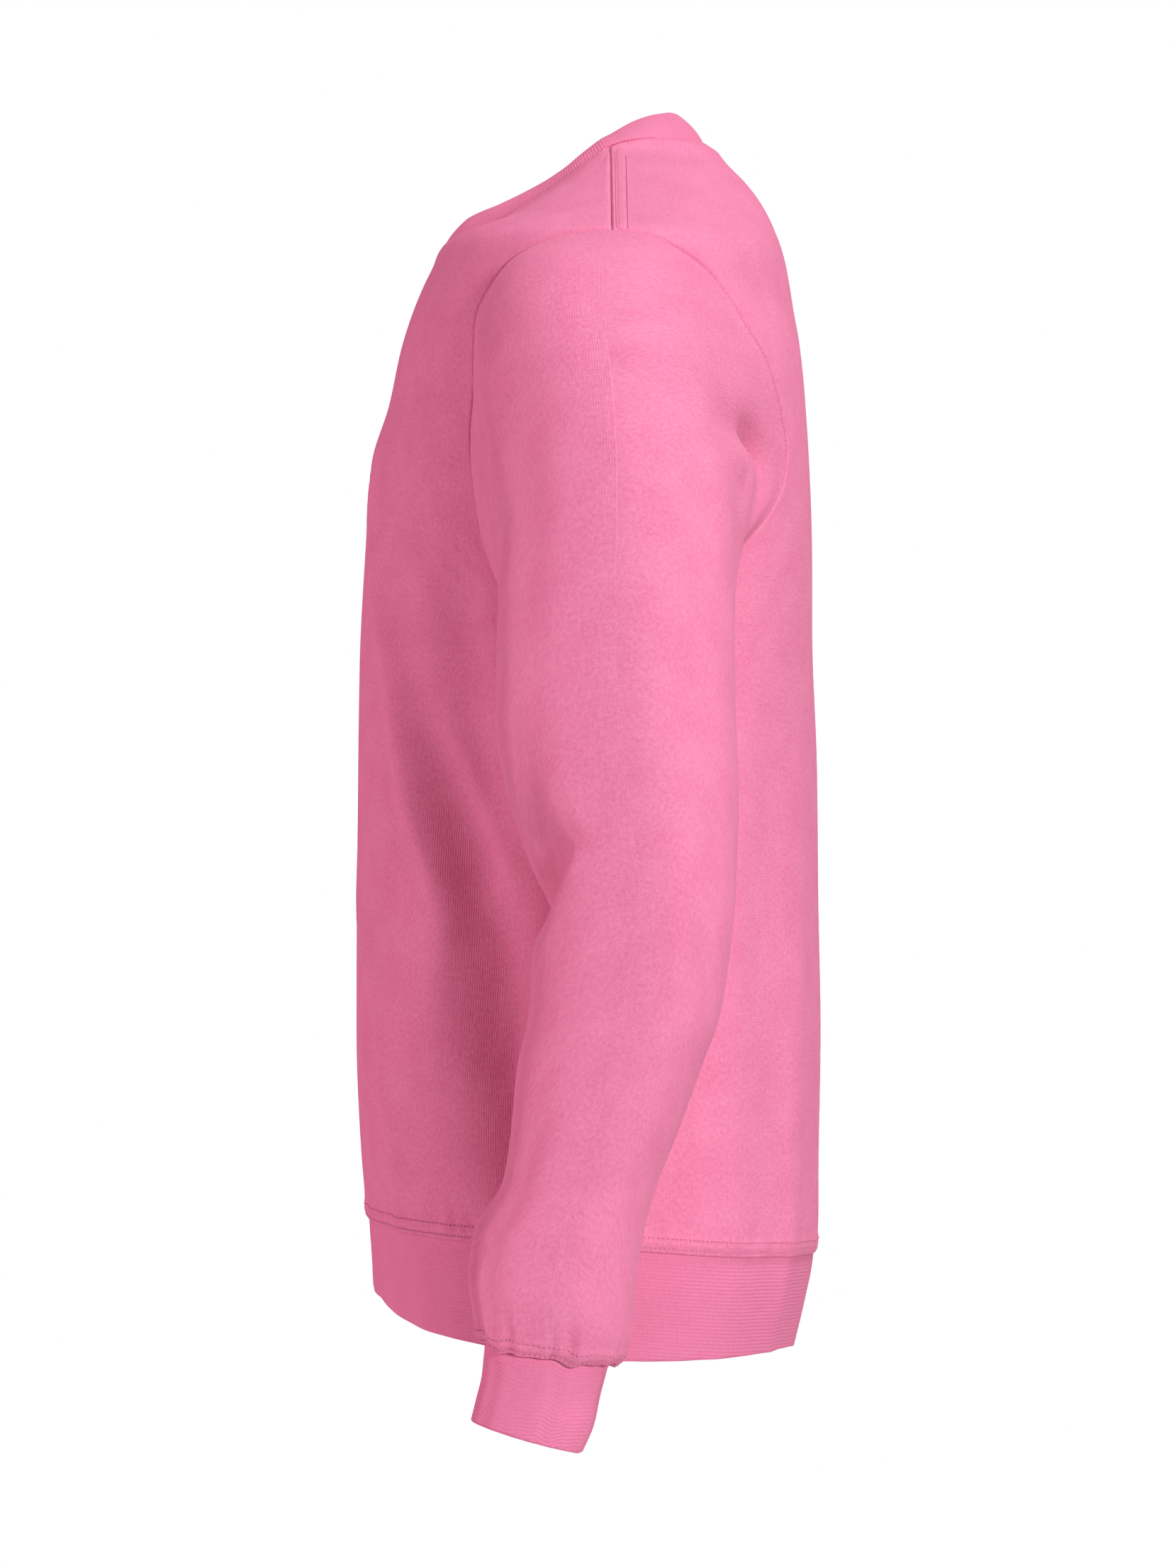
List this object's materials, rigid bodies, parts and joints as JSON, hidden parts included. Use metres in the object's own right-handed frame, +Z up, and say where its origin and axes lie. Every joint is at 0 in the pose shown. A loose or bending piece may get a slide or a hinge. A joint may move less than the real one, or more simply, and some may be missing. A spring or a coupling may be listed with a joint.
{
  "type": "crewneck sweatshirt",
  "caption": "Long-sleeved crewneck sweatshirt in brushed fleece, in its worn form, with rib at neck, cuffs and hem.",
  "frame": {"origin": "midway between the two points where the shoulder seams meet the neck seam, where the wearer's shoulders hold it", "axes": "+X to the wearer's left, -Y to the front, +Z up"},
  "size_m": [0.6838, 0.27, 0.7452],
  "materials": {
    "fleece": "matt brushed knit",
    "rib": "matt rib knit"
  },
  "bodies": {
    "root": {"front": "fleece", "back": "fleece", "sleeve_left": "fleece", "sleeve_right": "fleece", "neck_rib": "rib", "hem_rib": "rib", "cuff_left": "rib", "cuff_right": "rib"}
  },
  "joints": []
}
